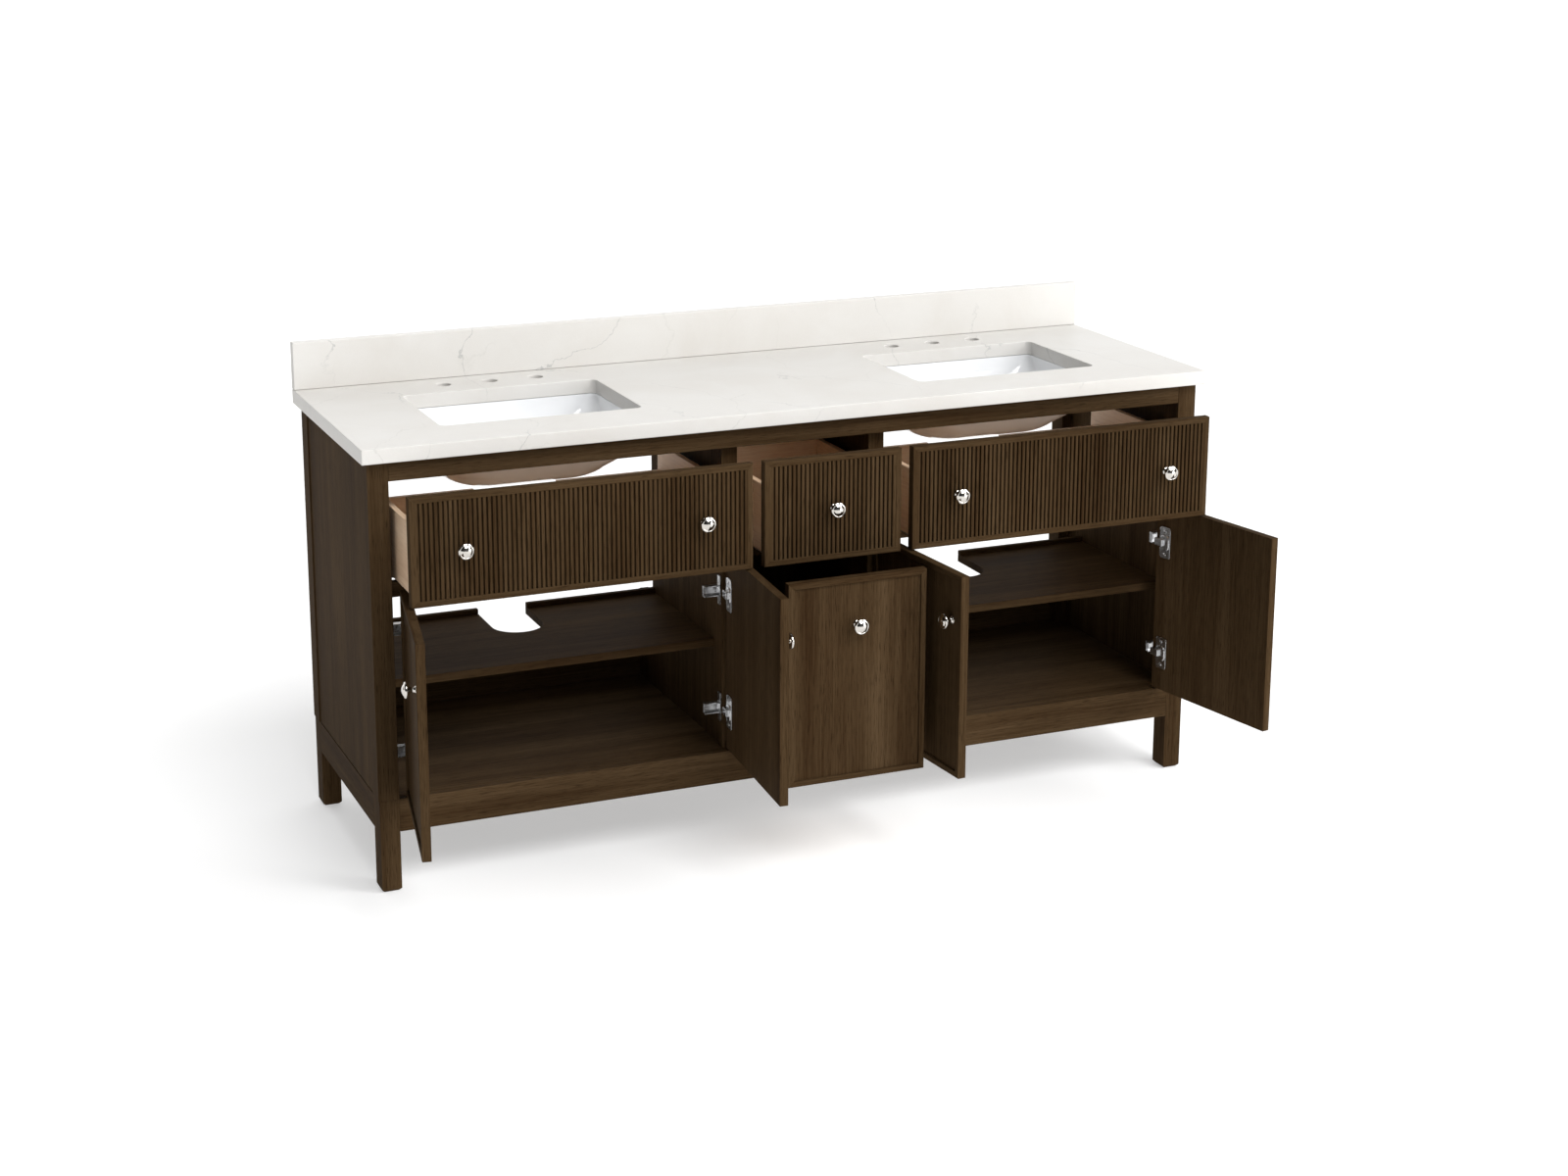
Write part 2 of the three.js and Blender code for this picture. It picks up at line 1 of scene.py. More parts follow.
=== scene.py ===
"""The looks of a double bathroom vanity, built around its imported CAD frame.

Metres, +Z up, the front faces -Y. The boards of the cabinet and the frame halves of the hinges keep
their CAD shape and only get eased edges and a material. Fronts, worktop, bowls, drawer boxes,
shelves and knobs are rebuilt finely. Runners, shelf pins and the door halves of the hinges exist
only here. Door pieces are laid out with the door shut and then swung open with their door.
"""

import json
import math

import bmesh
import bpy
from mathutils import Matrix, Vector
from mathutils.geometry import tessellate_polygon


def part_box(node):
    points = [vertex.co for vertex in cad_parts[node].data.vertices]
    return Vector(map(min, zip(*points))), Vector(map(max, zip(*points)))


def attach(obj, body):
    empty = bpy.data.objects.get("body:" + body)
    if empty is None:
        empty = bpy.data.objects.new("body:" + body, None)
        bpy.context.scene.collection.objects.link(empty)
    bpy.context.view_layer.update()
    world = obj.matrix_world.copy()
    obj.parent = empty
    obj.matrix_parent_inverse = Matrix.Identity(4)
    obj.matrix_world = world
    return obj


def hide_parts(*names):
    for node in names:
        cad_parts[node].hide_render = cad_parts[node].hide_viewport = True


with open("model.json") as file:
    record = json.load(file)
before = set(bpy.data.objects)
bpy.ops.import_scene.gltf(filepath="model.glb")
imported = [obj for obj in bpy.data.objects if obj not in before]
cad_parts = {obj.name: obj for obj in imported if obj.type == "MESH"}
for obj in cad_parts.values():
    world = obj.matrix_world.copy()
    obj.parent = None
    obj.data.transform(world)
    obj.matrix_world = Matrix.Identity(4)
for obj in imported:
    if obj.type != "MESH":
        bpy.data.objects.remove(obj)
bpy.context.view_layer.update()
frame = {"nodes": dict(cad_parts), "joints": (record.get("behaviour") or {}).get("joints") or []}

MM = 0.001
SHARP_ANGLE = math.radians(38)
SIDES = {"left": -1, "right": 1}
DOORS = (1, 2, 3, 4)
OUTER_DOORS = (1, 4)

# Steps round an eased edge, a small round, a corner, a bowl's opening and a shelf's pipe notch
EDGE_STEPS = 3
ROUND_STEPS = 4
CORNER_STEPS = 5
OPENING_STEPS = 10
NOTCH_STEPS = 28
# Steps round a screw and a shelf pin
SCREW_STEPS = 24
PIN_STEPS = 20

# Wooden nodes that keep their CAD shape, by the direction of their grain
PLAIN_WOOD = {
    "X": ["top_rail_front", "top_rail_back", "mid_rail_centre", "mid_rail_left", "mid_rail_right",
          "bottom_panel", "back_panel", "base_rail_front", "base_rail_back"],
    "Y": ["base_rail_left", "base_rail_right"],
    "Z": ["post_front_left", "post_front_right", "post_back_left", "post_back_right", "side_panel_left",
          "side_panel_right", "divider_left", "divider_right", "centre_back_panel", "leg_front_left",
          "leg_front_right", "leg_back_left", "leg_back_right"],
}
WOOD_EASE = 0.9 * MM
METAL_EASE = 0.35 * MM
WELD_DISTANCE = 0.01 * MM
BEVEL_ANGLE = math.radians(30)

# Fronts
BORDER = 12 * MM
FLUTE_PITCH = 9.525 * MM
GROOVE_WIDTH = 3.4 * MM
GROOVE_DEPTH = 6 * MM
GROOVE_TAPER = 0.3 * MM
RIB_ROUND = 1.1 * MM
RIB_DROP = 0.7 * MM
MITRE_GAP = 0.12 * MM
PANEL_RECESS = 5 * MM
FIELD_EASE = 0.6 * MM
# Radii on the outer and the inner edge of a border
FLUTED_BORDER_ROUNDS = (2 * MM, 0.9 * MM)
PANELLED_BORDER_ROUNDS = (1.8 * MM, 1 * MM)

# Worktop
TOP_EASE = 1.8 * MM
TOP_CORNER = 2.5 * MM
CUT_OUT = {"x": 522 * MM, "y": 150.122 * MM, "width": 421 * MM, "depth": 291 * MM, "corner": 14 * MM}
# Three tap holes behind each bowl
FAUCET = {"y": 368.122 * MM, "spacing": 101.6 * MM, "radius": 16 * MM}

# Bowls: half sizes under the rim, how far the wall curves in along x and y and over what height,
# the corner radii at the rim and at the floor, and the depth below the rim's top
OUTSIDE = {
    "u": 223.5 * MM,
    "v": 158.5 * MM,
    "curve": (114 * MM, 125 * MM, 114 * MM),
    "corner": (32 * MM, 139 * MM),
    "depth": 127 * MM,
}
INSIDE = {
    "u": 211.5 * MM,
    "v": 146.5 * MM,
    "curve": (108 * MM, 115 * MM, 104 * MM),
    "corner": (20 * MM, 120 * MM),
    "depth": 113 * MM,
}
RIM = {"thickness": 10 * MM, "corner": 45 * MM, "ease": 1.6 * MM}
# Rounds where the wall meets the rim's underside and inner edge, and how the floor sinks into the
# drain: pairs of distance outwards and downwards, or outwards and upwards, in times the rim's ease
COVE = ((0, 2.4), (0.4, 1.2), (1.2, 0.4), (2.4, 0))
INNER_EDGE = ((1, 0), (0.3, 0.3), (0, 1))
DRAIN_EDGE = ((3, 0.5), (1, 0))
DRAIN_RADIUS = 23 * MM
LEAST_STRAIGHT = 4 * MM
BOWL_CORNER_STEPS = 12
BOWL_WALL_STEPS = 16

# Drawer boxes
WALL = 12 * MM
FLOOR = 6 * MM
FLOOR_GAP = 0.3 * MM
FLOOR_EASE = 0.4 * MM
BOX_EASE = 1.3 * MM
REAR = {"top": 718 * MM, "notch_half": 90 * MM, "notch_bottom": 660 * MM, "corner": 6 * MM}

# Runners under the boxes: their size, and the heights of their two members
RUNNER = {"width": 12 * MM, "inset": 3 * MM, "front": -66 * MM, "ease": 0.5 * MM}
UPPER_MEMBERS = {"fixed": (629.4 * MM, 631.6 * MM), "moving": (631.9 * MM, 635.7 * MM)}
DEEP_MEMBERS = {"fixed": (192.6 * MM, 203 * MM), "moving": (203.3 * MM, 213.7 * MM)}
TO_SIDE_PANEL = 36.2 * MM
TO_DIVIDER = 18.2 * MM
# For each drawer: the members, where the fixed one ends, and how far it reaches out on each side
RUNNERS = {
    "left": (UPPER_MEMBERS, 340 * MM, {"left": TO_SIDE_PANEL, "right": TO_DIVIDER}),
    "right": (UPPER_MEMBERS, 340 * MM, {"left": TO_DIVIDER, "right": TO_SIDE_PANEL}),
    "centre": (UPPER_MEMBERS, 262 * MM, {"left": TO_DIVIDER, "right": TO_DIVIDER}),
    "deep": (DEEP_MEMBERS, 262 * MM, {"left": 0, "right": 0}),
}

# Shelves
SHELF = {"top": 412 * MM, "thickness": 17 * MM, "lip": 12 * MM, "radius": 54.5 * MM, "depth": 168 * MM}
PIN = {"radius": 2.5 * MM, "length": 9 * MM, "from_edge": 45 * MM, "gap": 0.2 * MM}
PIN_ROUND = 0.4 * MM
PIN_TIP_ROUND = 0.8 * MM

# Concealed hinges: the door's halves, by distance from the door's hinge edge
HINGE_HEIGHTS = {"lower": 281 * MM, "upper": 532 * MM}
CUP_PLATE = {
    "near": 12 * MM,
    "far": 44 * MM,
    "height": 70 * MM,
    "thickness": 2.5 * MM,
    "corner": 6 * MM,
    "ease": 0.6 * MM,
}
CUP = {
    "half_width": 13 * MM,
    "half_height": 17 * MM,
    "corner": 10 * MM,
    "start": 1.4 * MM,
    "thickness": 3.2 * MM,
    "ease": 1.4 * MM,
}
LINK_SPANS = {"outer": (1.5 * MM, 25 * MM), "inner": (10.5 * MM, 33 * MM)}
LINK = {"start": 1 * MM, "end": 10 * MM, "half_height": 8 * MM, "corner": 2 * MM, "ease": 1 * MM}
SCREW_OFFSET = 26 * MM

# Suns: name, power, angular size in degrees and direction
SUNS = [("key", 1.1, 26, (-0.75, 0.5, -0.65)), ("fill", 1.8, 30, (-0.1, 0.62, -0.77))]
SOFTBOX = {"place": (2.3, -2.6, 1.1), "target": (0.6, -0.2, 0.6), "size": 1.4, "power": 38}

# The studio's light by direction: from one place on an axis to another, and the strength at each
STUDIO = {"side": (-0.8, 0.8, 0.04, 0.7), "front": (-0.3, -0.95, 1, 2.0), "back": (0.3, 0.95, 0, 1.5)}
# How much of the light from the side and the front is seen mirrored in the object
MIRRORED = 0.15

# The studio's floor: half its width in metres, how far below the legs, its greys and its glow
GROUND_SIZE = 40
GROUND_DROP = 0.5 * MM
GROUND_TONES = (0.61, 0.63)
GROUND_GLOW = 0.42

CAMERA = {
    "place": (-2.0405, -4.7008, 2.054),
    "turn": (math.pi / 2 - 0.2391, 0.002, -0.3877),
    "sensor": 36,
    "lens": 58.46,
    "shift": (0.0346, -0.0929),
    "clip_end": 200,
}


# ---- Mesh making ------------------------------------------------------------------------------

def arc(centre, radius, start, end, steps):
    """Points on a circle from one angle to another, both in degrees."""
    angles = [math.radians(start + (end - start) * i / steps) for i in range(steps + 1)]
    return [Vector((centre[0] + radius * math.cos(a), centre[1] + radius * math.sin(a))) for a in angles]


def rectangle(u, v):
    """A rectangle's corners, counter-clockwise."""
    return [Vector((u[0], v[0])), Vector((u[1], v[0])), Vector((u[1], v[1])), Vector((u[0], v[1]))]


def rounded(u, v, radius, steps=6):
    """A rectangle with round corners, counter-clockwise."""
    low_u, high_u = u[0] + radius, u[1] - radius
    low_v, high_v = v[0] + radius, v[1] - radius
    points = arc((high_u, low_v), radius, -90, 0, steps)
    points += arc((high_u, high_v), radius, 0, 90, steps)
    points += arc((low_u, high_v), radius, 90, 180, steps)
    points += arc((low_u, low_v), radius, 180, 270, steps)
    return points


def circle(centre, radius, steps=48):
    return arc(centre, radius, 0, 360, steps)[:-1]


def inset(loop, distance):
    """The loop moved into the material, which lies to its left."""
    moved = []
    for i, here in enumerate(loop):
        arriving = (here - loop[i - 1]).normalized()
        leaving = (loop[(i + 1) % len(loop)] - here).normalized()
        first = Vector((-arriving.y, arriving.x))
        second = Vector((-leaving.y, leaving.x))
        moved.append(here + (first + second) * (distance / (1 + first.dot(second))))
    return moved


def plan(height):
    """Places a flat outline level, with its thickness upwards."""
    return lambda u, v, w: (u, v, height + w)


def elevation(depth):
    """Places a flat outline upright and facing the front, with its thickness backwards."""
    return lambda u, v, w: (u, depth + w, v)


def section(across):
    """Places a flat outline upright and facing the side, with its thickness to the right."""
    return lambda u, v, w: (across + w, u, v)


def span_of(low, high, axis):
    return low[axis], high[axis]


def sorted_span(a, b):
    return (a, b) if a < b else (b, a)


def edge_rings(thickness, ease):
    """The rounded edge of a board as pairs of inset and height."""
    if not ease:
        return [(0, 0), (0, thickness)]
    turns = [math.pi / 2 * k / EDGE_STEPS for k in range(EDGE_STEPS + 1)]
    rings = [(ease * (1 - math.sin(a)), ease * (1 - math.cos(a))) for a in turns]
    return rings + [(across, thickness - height) for across, height in reversed(rings)]


def slab(outline, thickness, ease, place, holes=()):
    """A board with eased edges. The outline runs counter-clockwise, its holes clockwise."""
    bm = bmesh.new()
    loops = [outline, *holes]
    first_ring = []
    last_ring = []
    for loop in loops:
        below = None
        for across, height in edge_rings(thickness, ease):
            ring = [bm.verts.new(place(p.x, p.y, height)) for p in inset(loop, across)]
            if below:
                for i in range(len(ring)):
                    bm.faces.new((below[i - 1], below[i], ring[i], ring[i - 1]))
            else:
                first_ring += ring
            below = ring
        last_ring += below
    flat = [[p.to_3d() for p in inset(loop, ease)] for loop in loops]
    for triangle in tessellate_polygon(flat):
        for ring in (first_ring, last_ring):
            bm.faces.new([ring[i] for i in triangle])
    bmesh.ops.recalc_face_normals(bm, faces=bm.faces)
    return bm


def sweep_rings(rings, close_ends=True):
    """A skin over rings that have the same number of points."""
    bm = bmesh.new()
    built = [[bm.verts.new(point) for point in ring] for ring in rings]
    for below, above in zip(built, built[1:]):
        for i in range(len(below)):
            bm.faces.new((below[i - 1], below[i], above[i], above[i - 1]))
    if close_ends:
        bm.faces.new(built[0])
        bm.faces.new(built[-1])
    else:
        for i in range(len(built[0])):
            bm.faces.new((built[-1][i - 1], built[-1][i], built[0][i], built[0][i - 1]))
    bmesh.ops.recalc_face_normals(bm, faces=bm.faces)
    return bm


def lathe(profile, origin, axis, steps=56):
    """A turned piece. The profile holds pairs of radius and height along the axis."""
    turn = Vector((0, 0, 1)).rotation_difference(Vector(axis)).to_matrix()
    rings = []
    for radius, height in profile:
        ring = [Vector((p.x, p.y, height)) for p in circle((0, 0), radius, steps)]
        rings.append([Vector(origin) + turn @ point for point in ring])
    return sweep_rings(rings)


def smooth_profile(points, steps=5):
    """A Catmull-Rom curve through the points of a turned outline."""
    padded = [points[0], *points, points[-1]]
    curve = []
    for a, b, c, d in zip(padded, padded[1:], padded[2:], padded[3:]):
        for k in range(steps):
            t = k / steps
            point = []
            for p, q, r, s in zip(a, b, c, d):
                square, cube = 2 * p - 5 * q + 4 * r - s, 3 * q - p - 3 * r + s
                point.append(0.5 * (2 * q + (r - p) * t + square * t**2 + cube * t**3))
            curve.append(tuple(point))
    return curve + [points[-1]]


def join(target, *others):
    """Adds the other meshes to the first one."""
    for other in others:
        mesh = bpy.data.meshes.new("part")
        other.to_mesh(mesh)
        other.free()
        target.from_mesh(mesh)
        bpy.data.meshes.remove(mesh)
    return target


def piece(name, bm, material, body, replaces=(), matrix=None):
    """Makes the mesh an object that rides on its body and stands for its CAD nodes."""
    mesh = bpy.data.meshes.new(name)
    bm.to_mesh(mesh)
    bm.free()
    mesh.materials.append(material)
    mesh.polygons.foreach_set("use_smooth", [True] * len(mesh.polygons))
    mesh.set_sharp_from_angle(angle=SHARP_ANGLE)
    obj = bpy.data.objects.new(name, mesh)
    bpy.context.scene.collection.objects.link(obj)
    if matrix is not None:
        obj.matrix_world = matrix
    obj.modifiers.new("Normals", "WEIGHTED_NORMAL").keep_sharp = True
    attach(obj, body)
    if replaces:
        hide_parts(*replaces)
    return obj


# ---- Materials --------------------------------------------------------------------------------

def new_material(name, **sockets):
    material = bpy.data.materials.new(name)
    material.use_nodes = True
    shader = material.node_tree.nodes["Principled BSDF"]
    for socket, value in sockets.items():
        shader.inputs[socket.replace("_", " ")].default_value = value
    return material, material.node_tree, shader


def noise(tree, scale, stretch=(1, 1, 1), detail=4.0, roughness=0.55, distortion=0.0, shift=(0, 0, 0)):
    """Noise in the piece's own coordinates, stretched along its axes."""
    coordinates = tree.nodes.new("ShaderNodeTexCoord")
    mapping = tree.nodes.new("ShaderNodeMapping")
    mapping.inputs["Scale"].default_value = stretch
    mapping.inputs["Location"].default_value = shift
    texture = tree.nodes.new("ShaderNodeTexNoise")
    texture.inputs["Scale"].default_value = scale
    texture.inputs["Detail"].default_value = detail
    texture.inputs["Roughness"].default_value = roughness
    texture.inputs["Distortion"].default_value = distortion
    tree.links.new(coordinates.outputs["Object"], mapping.inputs["Vector"])
    tree.links.new(mapping.outputs["Vector"], texture.inputs["Vector"])
    return texture.outputs["Fac"]


def ramp(tree, value, *stops):
    """Turns a value into a colour. Each stop is a position and a colour."""
    node = tree.nodes.new("ShaderNodeValToRGB")
    elements = node.color_ramp.elements
    while len(elements) < len(stops):
        elements.new(0.5)
    for element, (position, colour) in zip(elements, stops):
        element.position = position
        element.color = (*colour, 1) if len(colour) == 3 else colour
    tree.links.new(value, node.inputs["Fac"])
    return node.outputs["Color"]


def span(tree, value, low_in, high_in, low_out, high_out):
    """Maps a value from one range to another, and keeps it inside."""
    node = tree.nodes.new("ShaderNodeMapRange")
    for socket, number in zip(node.inputs[1:5], (low_in, high_in, low_out, high_out)):
        socket.default_value = number
    tree.links.new(value, node.inputs["Value"])
    return node.outputs["Result"]


def mix(tree, kind, factor, a, b):
    node = tree.nodes.new("ShaderNodeMix")
    node.data_type = "RGBA"
    node.blend_type = kind
    for socket, value in ((node.inputs["Factor"], factor), (node.inputs[6], a), (node.inputs[7], b)):
        if isinstance(value, bpy.types.NodeSocket):
            tree.links.new(value, socket)
        else:
            socket.default_value = value
    return node.outputs[2]


def math_node(tree, operation, a, b=None):
    node = tree.nodes.new("ShaderNodeMath")
    node.operation = operation
    for socket, value in zip(node.inputs, (a, b)):
        if isinstance(value, bpy.types.NodeSocket):
            tree.links.new(value, socket)
        elif value is not None:
            socket.default_value = value
    return node.outputs["Value"]


def bump(tree, shader, height, strength, distance):
    node = tree.nodes.new("ShaderNodeBump")
    node.inputs["Strength"].default_value = strength
    node.inputs["Distance"].default_value = distance
    tree.links.new(height, node.inputs["Height"])
    tree.links.new(node.outputs["Normal"], shader.inputs["Normal"])


def along(axis, lengthwise, across):
    """Texture stretch with long features along one axis."""
    return tuple(lengthwise if letter == axis else across for letter in "XYZ")


# How much of the wood's tone comes from its wide streaks, the rest being from its narrow lines
STREAK_SHARE = 0.62


def wood(name, axis, tones, pore_tone, pore_strength, finish):
    """Straight-grained wood: wide streaks, narrow grain lines and short dark pores."""
    material, tree, shader = new_material(name, **finish)
    streaks = noise(tree, 1.0, along(axis, 0.9, 21), 5, 0.6, 0.35)
    lines = noise(tree, 1.0, along(axis, 5, 260), 3, 0.6, 0.1, (0.3, 0.7, 0.1))
    pores = noise(tree, 1.0, along(axis, 30, 900), 2, 0.5, shift=(0.5, 0.2, 0.9))
    boards = noise(tree, 2.3, detail=1, roughness=0.4, shift=(0.1, 0.4, 0.6))
    wide = math_node(tree, "MULTIPLY", streaks, STREAK_SHARE)
    narrow = math_node(tree, "MULTIPLY", lines, 1 - STREAK_SHARE)
    blend = math_node(tree, "ADD", wide, narrow)
    tone = ramp(tree, blend, (0.33, tones[0]), (0.5, tones[1]), (0.68, tones[2]))
    pore_mask = span(tree, pores, 0.56, 0.68, 0, pore_strength)
    dotted = mix(tree, "MIX", pore_mask, tone, (*pore_tone, 1))
    shade = ramp(tree, boards, (0.3, (0.82,) * 3), (0.7, (1, 1, 1)))
    clouded = mix(tree, "MULTIPLY", 1.0, dotted, shade)
    tree.links.new(clouded, shader.inputs["Base Color"])
    tree.links.new(span(tree, blend, 0.3, 0.7, 0.5, 0.62), shader.inputs["Roughness"])
    relief = math_node(tree, "SUBTRACT", math_node(tree, "MULTIPLY", lines, 0.6), pore_mask)
    bump(tree, shader, relief, 0.35, 0.25 * MM)
    return material


def stained_wood(axis):
    """Dark brown stain, with so little gloss that a bright room doesn't turn it grey."""
    tones = ((0.031, 0.0158, 0.0064), (0.056, 0.0335, 0.0158), (0.083, 0.052, 0.0265))
    finish = {"Specular_IOR_Level": 0.008}
    return wood(f"stained_wood_{axis}", axis, tones, (0.012, 0.006, 0.0022), 0.7, finish)


def light_wood(axis):
    """Pale wood with a little gloss, for the drawer boxes."""
    tones = ((0.66, 0.44, 0.28), (0.77, 0.55, 0.37), (0.85, 0.64, 0.45))
    finish = {"Specular_IOR_Level": 0.35}
    return wood(f"light_wood_{axis}", axis, tones, (0.42, 0.25, 0.14), 0.35, finish)


def veins(tree, direction, spacing, width, shift, presence):
    """Thin crooked lines at uneven distances that come and go."""
    coordinates = tree.nodes.new("ShaderNodeTexCoord")
    product = tree.nodes.new("ShaderNodeVectorMath")
    product.operation = "DOT_PRODUCT"
    product.inputs[1].default_value = tuple(part / spacing for part in direction)
    tree.links.new(coordinates.outputs["Object"], product.inputs[0])
    bend = math_node(tree, "MULTIPLY", noise(tree, 2.2, detail=2, roughness=0.5, shift=shift), 2.4)
    crook = math_node(tree, "MULTIPLY", noise(tree, 22.0, detail=4, roughness=0.6, shift=shift), 0.22)
    place = math_node(tree, "ADD", product.outputs["Value"], math_node(tree, "ADD", bend, crook))
    offset = math_node(tree, "SUBTRACT", math_node(tree, "FRACT", place), 0.5)
    distance = math_node(tree, "ABSOLUTE", offset)
    line = span(tree, distance, 0.25 * width / spacing, width / spacing, 1, 0)
    strength = span(tree, noise(tree, 4.0, detail=2, roughness=0.5, shift=shift), *presence, 0, 1)
    return math_node(tree, "MULTIPLY", line, strength)


def quartz():
    """Pale stone with fine grains and two families of veins, one strong and one faint."""
    finish = {"Roughness": 0.3, "Specular_IOR_Level": 0.05}
    material, tree, shader = new_material("quartz", **finish)
    clouds = noise(tree, 5.0, detail=5, roughness=0.6, distortion=0.6)
    grains = noise(tree, 900.0, detail=1, roughness=0.5)
    base = ramp(tree, clouds, (0.3, (0.62, 0.60, 0.568)), (0.65, (0.655, 0.642, 0.617)))
    specks = ramp(tree, grains, (0.3, (0.97,) * 3), (0.6, (1, 1, 1)))
    speckled = mix(tree, "MULTIPLY", 1.0, base, specks)
    strong = veins(tree, (1.0, 0.45, -0.5), 0.30, 1.9 * MM, (3.1, 0.4, 1.7), (0.47, 0.60))
    faint = veins(tree, (0.8, -0.5, -0.45), 0.26, 2.6 * MM, (7.7, 2.9, 4.2), (0.50, 0.66))
    veined = mix(tree, "MIX", math_node(tree, "MULTIPLY", strong, 0.8), speckled, (0.42, 0.42, 0.41, 1))
    veined = mix(tree, "MIX", math_node(tree, "MULTIPLY", faint, 0.4), veined, (0.50, 0.49, 0.46, 1))
    tree.links.new(veined, shader.inputs["Base Color"])
    return material


def glazed_ceramic():
    finish = {"Roughness": 0.07, "Coat_Weight": 0.3, "Coat_Roughness": 0.03, "Specular_IOR_Level": 0.5}
    material, tree, shader = new_material("glazed_ceramic", **finish)
    tint = ramp(tree, noise(tree, 9.0), (0.3, (0.80, 0.81, 0.825)), (0.7, (0.84, 0.85, 0.86)))
    tree.links.new(tint, shader.inputs["Base Color"])
    bump(tree, shader, noise(tree, 28.0, detail=2), 0.06, 0.4 * MM)
    return material


def metal(name, dark, light, roughness, grain_scale, strength):
    """Metal that is slightly cloudy, with a fine grain in its polish."""
    material, tree, shader = new_material(name, Metallic=1.0)
    cloud = noise(tree, 60.0, detail=3)
    grain = noise(tree, grain_scale, detail=3)
    tree.links.new(ramp(tree, cloud, (0.3, dark), (0.7, light)), shader.inputs["Base Color"])
    tree.links.new(span(tree, grain, 0.3, 0.7, *roughness), shader.inputs["Roughness"])
    bump(tree, shader, grain, strength, 0.05 * MM)
    return material


STAINED = {axis: stained_wood(axis) for axis in "XYZ"}
LIGHT = {axis: light_wood(axis) for axis in "XYZ"}
QUARTZ = quartz()
CERAMIC = glazed_ceramic()
NICKEL = metal("nickel", (0.56, 0.53, 0.49), (0.66, 0.63, 0.585), (0.05, 0.10), 500.0, 0.03)
ZINC = metal("zinc", (0.56, 0.565, 0.575), (0.66, 0.665, 0.67), (0.22, 0.34), 900.0, 0.12)


# ---- Nodes that keep their CAD shape ----------------------------------------------------------

def soften(node, material, ease):
    """Eases the edges of a CAD node and gives it a material."""
    obj = frame["nodes"][node]
    obj.data.materials.clear()
    obj.data.materials.append(material)
    obj.modifiers.new("Weld", "WELD").merge_threshold = WELD_DISTANCE
    edges = obj.modifiers.new("Edges", "BEVEL")
    edges.width = ease
    edges.segments = EDGE_STEPS
    edges.limit_method = "ANGLE"
    edges.angle_limit = BEVEL_ANGLE
    edges.harden_normals = True


def finish_plain_nodes():
    """The wooden boards and the frame halves of the hinges."""
    for axis, nodes in PLAIN_WOOD.items():
        for node in nodes:
            soften(node, STAINED[axis], WOOD_EASE)
    for number in DOORS:
        for level in HINGE_HEIGHTS:
            soften(f"hinge_door_{number}_{level}", ZINC, METAL_EASE)


# ---- Worktop and bowls ------------------------------------------------------------------------

def build_worktop():
    """The stone top with its openings, and the backsplash."""
    low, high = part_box("countertop")
    outline = rounded(span_of(low, high, 0), span_of(low, high, 1), TOP_CORNER)
    holes = []
    for sign in SIDES.values():
        x, y = sign * CUT_OUT["x"], CUT_OUT["y"]
        half_u, half_v = CUT_OUT["width"] / 2, CUT_OUT["depth"] / 2
        u, v = (x - half_u, x + half_u), (y - half_v, y + half_v)
        holes.append(rounded(u, v, CUT_OUT["corner"], OPENING_STEPS)[::-1])
        for step in (-1, 0, 1):
            holes.append(circle((x + step * FAUCET["spacing"], FAUCET["y"]), FAUCET["radius"])[::-1])
    board = slab(outline, high.z - low.z, TOP_EASE, plan(low.z), holes)
    piece("worktop", board, QUARTZ, "cabinet", ["countertop"])
    low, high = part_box("backsplash")
    outline = rounded(span_of(low, high, 0), span_of(low, high, 2), TOP_CORNER)
    board = slab(outline, high.y - low.y, TOP_EASE, elevation(low.y))
    piece("backsplash_panel", board, QUARTZ, "cabinet", ["backsplash"])


def bowl_ring(centre, half_u, half_v, corner, height):
    """Points round a rounded rectangle, as many for every size."""
    radius = min(corner, half_u - LEAST_STRAIGHT, half_v - LEAST_STRAIGHT)
    points = []
    for right, back, start in ((1, -1, -90), (1, 1, 0), (-1, 1, 90), (-1, -1, 180)):
        middle = (centre[0] + right * (half_u - radius), centre[1] + back * (half_v - radius))
        turn = arc(middle, radius, start, start + 90, BOWL_CORNER_STEPS)
        points += [Vector((p.x, p.y, height)) for p in turn]
    return points


def drain_ring(centre, radius, height):
    """A circle with as many points as a ring of the bowl."""
    count = 4 * (BOWL_CORNER_STEPS + 1)
    half_step = 180 / count
    turn = arc(centre, radius, half_step - 90, half_step + 270, count)[:-1]
    return [Vector((p.x, p.y, height)) for p in turn]


def wall_rings(centre, wall, floor):
    """Rings down a bowl's wall, from where it is upright to its flat floor."""
    curve_u, curve_v, down = wall["curve"]
    top_corner, floor_corner = wall["corner"]
    rings = []
    for step in range(BOWL_WALL_STEPS + 1):
        angle = math.pi / 2 * step / BOWL_WALL_STEPS
        inwards = 1 - math.cos(angle)
        corner = top_corner + (floor_corner - top_corner) * math.sin(angle)
        height = floor + down * (1 - math.sin(angle))
        half_u, half_v = wall["u"] - curve_u * inwards, wall["v"] - curve_v * inwards
        rings.append(bowl_ring(centre, half_u, half_v, corner, height))
    return rings


def eased_rim(centre, half_u, half_v, low, high):
    """Rings round the flat rim, with its two outer edges rounded."""
    rings = []
    for across, height in edge_rings(high - low, RIM["ease"]):
        corner = RIM["corner"] - across
        rings.append(bowl_ring(centre, half_u - across, half_v - across, corner, low + height))
    return rings


def rounding_rings(centre, wall, start, turn):
    """Rings where a wall runs out into the flat of the rim."""
    rings = []
    for out, down in turn:
        spread, drop = out * RIM["ease"], down * RIM["ease"]
        corner = wall["corner"][0] + spread
        rings.append(bowl_ring(centre, wall["u"] + spread, wall["v"] + spread, corner, start - drop))
    return rings


